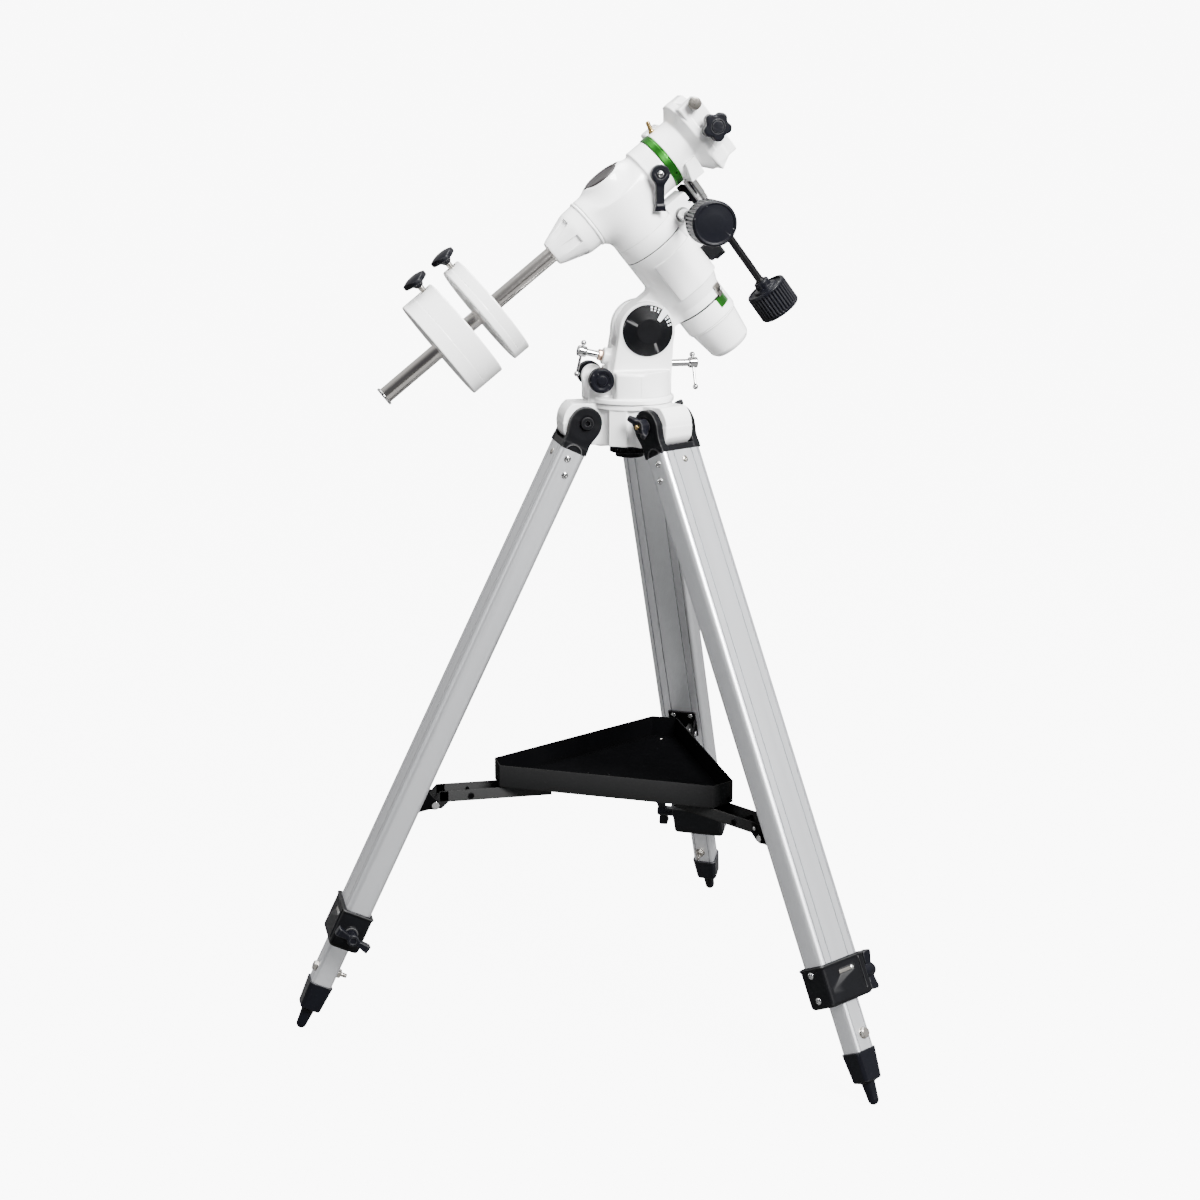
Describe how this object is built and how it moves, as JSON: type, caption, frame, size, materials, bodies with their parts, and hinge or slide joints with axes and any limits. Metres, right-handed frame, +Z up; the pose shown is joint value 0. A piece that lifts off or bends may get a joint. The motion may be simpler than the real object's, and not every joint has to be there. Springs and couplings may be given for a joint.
{
  "type": "equatorial mount",
  "caption": "German equatorial telescope mount with counterweights and slow-motion controls on a folding aluminium tripod with accessory tray",
  "frame": {"origin": "on the floor, under the middle of the whole object's box", "axes": "+Z up; the polar axis leans towards -X (north); -Y is west; +X is south"},
  "size_m": [0.6144, 0.6874, 1.0595],
  "materials": {
    "black_casting": "satin black glass-filled nylon",
    "black_knob": "satin black moulded plastic with fluted rims",
    "black_paint": "fine satin black powder coat on folded steel",
    "chromed": "polished chrome plate",
    "enamelled_iron": "gloss off-white enamel over cast iron",
    "green_circle": "green anodised turned aluminium",
    "leg_alloy": "satin clear-anodised extrusion, faint lengthwise die lines",
    "steel": "turned and lightly polished steel",
    "white_paint": "smooth gloss off-white enamel over die-cast metal"
  },
  "bodies": {
    "hub": {"tripod_hub": "white_paint", "leg_pivot_bolts": "steel"},
    "leg_north": {"yoke_north": "black_casting", "upper_leg_north": "leg_alloy", "clamp_north": "black_casting", "brace_bracket_north": "black_paint"},
    "extension_north": {"lower_leg_north": "leg_alloy", "foot_north": "black_casting"},
    "clamp_knob_north": {"clamp_knob_north": "black_knob"},
    "brace_north": {"brace_arm_north": "black_paint"},
    "leg_west": {"yoke_west": "black_casting", "upper_leg_west": "leg_alloy", "clamp_west": "black_casting", "brace_bracket_west": "black_paint"},
    "extension_west": {"lower_leg_west": "leg_alloy", "foot_west": "black_casting"},
    "clamp_knob_west": {"clamp_knob_west": "black_knob"},
    "brace_west": {"brace_arm_west": "black_paint"},
    "leg_east": {"yoke_east": "black_casting", "upper_leg_east": "leg_alloy", "clamp_east": "black_casting", "brace_bracket_east": "black_paint"},
    "extension_east": {"lower_leg_east": "leg_alloy", "foot_east": "black_casting"},
    "clamp_knob_east": {"clamp_knob_east": "black_knob"},
    "brace_east": {"brace_arm_east": "black_paint"},
    "tray": {"tray": "black_paint"},
    "mount_knob": {"mount_knob": "black_knob"},
    "fork": {"fork": "white_paint"},
    "azimuth_knob_west": {"azimuth_knob_west": "black_knob"},
    "azimuth_knob_east": {"azimuth_knob_east": "black_knob"},
    "ra_housing": {"ra_housing": "white_paint", "ra_worm_housing": "white_paint", "latitude_dial": "black_knob"},
    "latitude_bolt_north": {"latitude_bolt_north": "chromed"},
    "latitude_bolt_south": {"latitude_bolt_south": "chromed"},
    "tommy_bar_north": {"tommy_bar_north": "chromed"},
    "tommy_bar_south": {"tommy_bar_south": "chromed"},
    "rear_cap": {"rear_cap": "white_paint"},
    "ra_control": {"ra_worm": "chromed", "ra_knob": "black_knob"},
    "dec_housing": {"dec_housing": "white_paint", "ra_shaft": "steel", "ra_circle": "green_circle"},
    "polar_cap": {"polar_cap": "black_knob"},
    "dec_lever": {"dec_lever": "black_knob"},
    "ra_lever": {"ra_lever": "black_knob"},
    "saddle": {"saddle": "white_paint", "dec_shaft": "steel", "dec_circle": "green_circle", "nose": "white_paint", "counterweight_bar": "chromed"},
    "dec_control": {"dec_worm": "chromed", "dec_knob": "black_knob"},
    "saddle_knob": {"saddle_knob": "black_knob"},
    "saddle_screw": {"saddle_screw": "chromed"},
    "weight_large": {"weight_large": "enamelled_iron"},
    "weight_knob_large": {"weight_knob_large": "black_knob"},
    "weight_small": {"weight_small": "enamelled_iron"},
    "weight_knob_small": {"weight_knob_small": "black_knob"}
  },
  "joints": [
    {"name": "leg_north_fold", "type": "hinge", "parent": "hub", "child": "leg_north", "pos_m": [0.0319, 0, 0.7014], "axis": [0, -1, 0], "range_deg": [0, 20]},
    {"name": "brace_north_fold", "type": "hinge", "parent": "leg_north", "child": "brace_north", "pos_m": [-0.14234, 0, 0.26555], "axis": [0, -1, 0], "range_deg": [-92, 0]},
    {"name": "leg_north_extend", "type": "slide", "parent": "leg_north", "child": "extension_north", "axis": [-0.4306, 0, -0.9026], "range_m": [0, 0.4]},
    {"name": "clamp_knob_north_turn", "type": "hinge", "parent": "leg_north", "child": "clamp_knob_north", "pos_m": [-0.24366, -0.04, 0.12376], "axis": [0, -1, 0], "continuous": true},
    {"name": "leg_west_fold", "type": "hinge", "parent": "hub", "child": "leg_west", "pos_m": [0.1156, -0.04832, 0.7014], "axis": [0.866, 0.5, 0], "range_deg": [0, 20]},
    {"name": "brace_west_fold", "type": "hinge", "parent": "leg_west", "child": "brace_west", "pos_m": [0.20272, -0.19922, 0.26555], "axis": [0.866, 0.5, 0], "range_deg": [-92, 0]},
    {"name": "leg_west_extend", "type": "slide", "parent": "leg_west", "child": "extension_west", "axis": [0.2153, -0.3729, -0.9026], "range_m": [0, 0.4]},
    {"name": "clamp_knob_west_turn", "type": "hinge", "parent": "leg_west", "child": "clamp_knob_west", "pos_m": [0.28802, -0.26697, 0.12376], "axis": [0.866, 0.5, 0], "continuous": true},
    {"name": "leg_east_fold", "type": "hinge", "parent": "hub", "child": "leg_east", "pos_m": [0.1156, 0.04832, 0.7014], "axis": [-0.866, 0.5, 0], "range_deg": [0, 20]},
    {"name": "brace_east_fold", "type": "hinge", "parent": "leg_east", "child": "brace_east", "pos_m": [0.20272, 0.19922, 0.26555], "axis": [-0.866, 0.5, 0], "range_deg": [-92, 0]},
    {"name": "leg_east_extend", "type": "slide", "parent": "leg_east", "child": "extension_east", "axis": [0.2153, 0.3729, -0.9026], "range_m": [0, 0.4]},
    {"name": "clamp_knob_east_turn", "type": "hinge", "parent": "leg_east", "child": "clamp_knob_east", "pos_m": [0.21874, 0.30697, 0.12376], "axis": [-0.866, 0.5, 0], "continuous": true},
    {"name": "tray_draw_out", "type": "slide", "parent": "hub", "child": "tray", "axis": [1, 0, 0], "range_m": [0, 0.3201]},
    {"name": "mount_knob_turn", "type": "hinge", "parent": "hub", "child": "mount_knob", "pos_m": [0.0877, 0, 0.665], "axis": [0, 0, 1], "continuous": true},
    {"name": "azimuth_turn", "type": "hinge", "parent": "hub", "child": "fork", "pos_m": [0.0877, 0, 0.722], "axis": [0, 0, 1], "range_deg": [-8, 8]},
    {"name": "azimuth_screw_west_travel", "type": "slide", "parent": "fork", "child": "azimuth_knob_west", "axis": [0, 1, 0], "range_m": [-0.0056, 0.0056]},
    {"name": "azimuth_screw_east_travel", "type": "slide", "parent": "fork", "child": "azimuth_knob_east", "axis": [0, 1, 0], "range_m": [-0.0056, 0.0056]},
    {"name": "latitude_tilt", "type": "hinge", "parent": "fork", "child": "ra_housing", "pos_m": [0.1017, 0, 0.802], "axis": [0, 1, 0], "range_deg": [-19, 20]},
    {"name": "latitude_bolt_north_travel", "type": "slide", "parent": "fork", "child": "latitude_bolt_north", "axis": [-0.9744, 0, 0.225], "range_m": [-0.0134, 0.0134]},
    {"name": "latitude_bolt_south_travel", "type": "slide", "parent": "fork", "child": "latitude_bolt_south", "axis": [1, 0, 0], "range_m": [-0.0134, 0.0134]},
    {"name": "tommy_bar_north_slip", "type": "slide", "parent": "latitude_bolt_north", "child": "tommy_bar_north", "axis": [0.225, 0, 0.9744], "range_m": [0, 0.017]},
    {"name": "tommy_bar_south_slip", "type": "slide", "parent": "latitude_bolt_south", "child": "tommy_bar_south", "axis": [0, -0.4226, -0.9063], "range_m": [-0.019, 0]},
    {"name": "rear_cap_pull", "type": "slide", "parent": "ra_housing", "child": "rear_cap", "axis": [0.6289, 0, -0.7775], "range_m": [0, 0.05]},
    {"name": "ra_worm_turn", "type": "hinge", "parent": "ra_housing", "child": "ra_control", "pos_m": [0.14148, 0, 0.9282], "axis": [0, -1, 0], "range_deg": [-5850, 14300]},
    {"name": "ra_turn", "type": "hinge", "parent": "ra_housing", "child": "dec_housing", "pos_m": [0.07291, 0, 0.9454], "axis": [-0.6289, 0, 0.7775], "range_deg": [-45, 110]},
    {"name": "polar_cap_pull", "type": "slide", "parent": "dec_housing", "child": "polar_cap", "axis": [-0.6289, 0, 0.7775], "range_m": [0, 0.05]},
    {"name": "dec_lock", "type": "hinge", "parent": "dec_housing", "child": "dec_lever", "pos_m": [0.11178, -0.036, 0.9735], "axis": [0, 1, 0], "range_deg": [-40, 0]},
    {"name": "ra_lock", "type": "hinge", "parent": "dec_housing", "child": "ra_lever", "pos_m": [0.08894, 0.042, 0.92558], "axis": [0, 1, 0], "range_deg": [0, 45]},
    {"name": "dec_turn", "type": "hinge", "parent": "dec_housing", "child": "saddle", "pos_m": [0.07291, 0, 0.9454], "axis": [0.7775, 0, 0.6289], "continuous": true},
    {"name": "dec_worm_turn", "type": "hinge", "parent": "saddle", "child": "dec_control", "pos_m": [0.16931, 0.028, 0.95264], "axis": [-0.5986, 0, 0.801], "continuous": true},
    {"name": "saddle_knob_turn", "type": "hinge", "parent": "saddle", "child": "saddle_knob", "pos_m": [0.16971, -0.05, 1.02448], "axis": [0, -1, 0], "continuous": true},
    {"name": "saddle_screw_turn", "type": "hinge", "parent": "saddle", "child": "saddle_screw", "pos_m": [0.14747, -0.045, 1.0488], "axis": [0, -1, 0], "continuous": true},
    {"name": "weight_large_slide", "type": "slide", "parent": "saddle", "child": "weight_large", "axis": [-0.7775, 0, -0.6289], "range_m": [-0.008, 0.075]},
    {"name": "weight_knob_large_turn", "type": "hinge", "parent": "weight_large", "child": "weight_knob_large", "pos_m": [-0.14955, 0, 0.85549], "axis": [-0.6289, 0, 0.7775], "continuous": true},
    {"name": "weight_small_slide", "type": "slide", "parent": "saddle", "child": "weight_small", "axis": [-0.7775, 0, -0.6289], "range_m": [-0.08, 0.008]},
    {"name": "weight_knob_small_turn", "type": "hinge", "parent": "weight_small", "child": "weight_knob_small", "pos_m": [-0.11884, 0, 0.88033], "axis": [-0.6289, 0, 0.7775], "continuous": true}
  ],
  "couplings": [
    {"joint": "brace_north_fold", "follows": "leg_north_fold", "ratio": -4.6},
    {"joint": "leg_west_fold", "follows": "leg_north_fold", "ratio": 1},
    {"joint": "brace_west_fold", "follows": "leg_north_fold", "ratio": -4.6},
    {"joint": "leg_east_fold", "follows": "leg_north_fold", "ratio": 1},
    {"joint": "brace_east_fold", "follows": "leg_north_fold", "ratio": -4.6},
    {"joint": "tray_draw_out", "follows": "leg_north_fold", "m_per_rad": 0.9167},
    {"joint": "azimuth_screw_west_travel", "follows": "azimuth_turn", "m_per_rad": 0.04},
    {"joint": "azimuth_screw_east_travel", "follows": "azimuth_turn", "m_per_rad": 0.04},
    {"joint": "latitude_bolt_north_travel", "follows": "latitude_tilt", "m_per_rad": 0.0382},
    {"joint": "latitude_bolt_south_travel", "follows": "latitude_tilt", "m_per_rad": -0.0382},
    {"joint": "ra_worm_turn", "follows": "ra_turn", "ratio": 130},
    {"joint": "dec_worm_turn", "follows": "dec_turn", "ratio": 65}
  ]
}
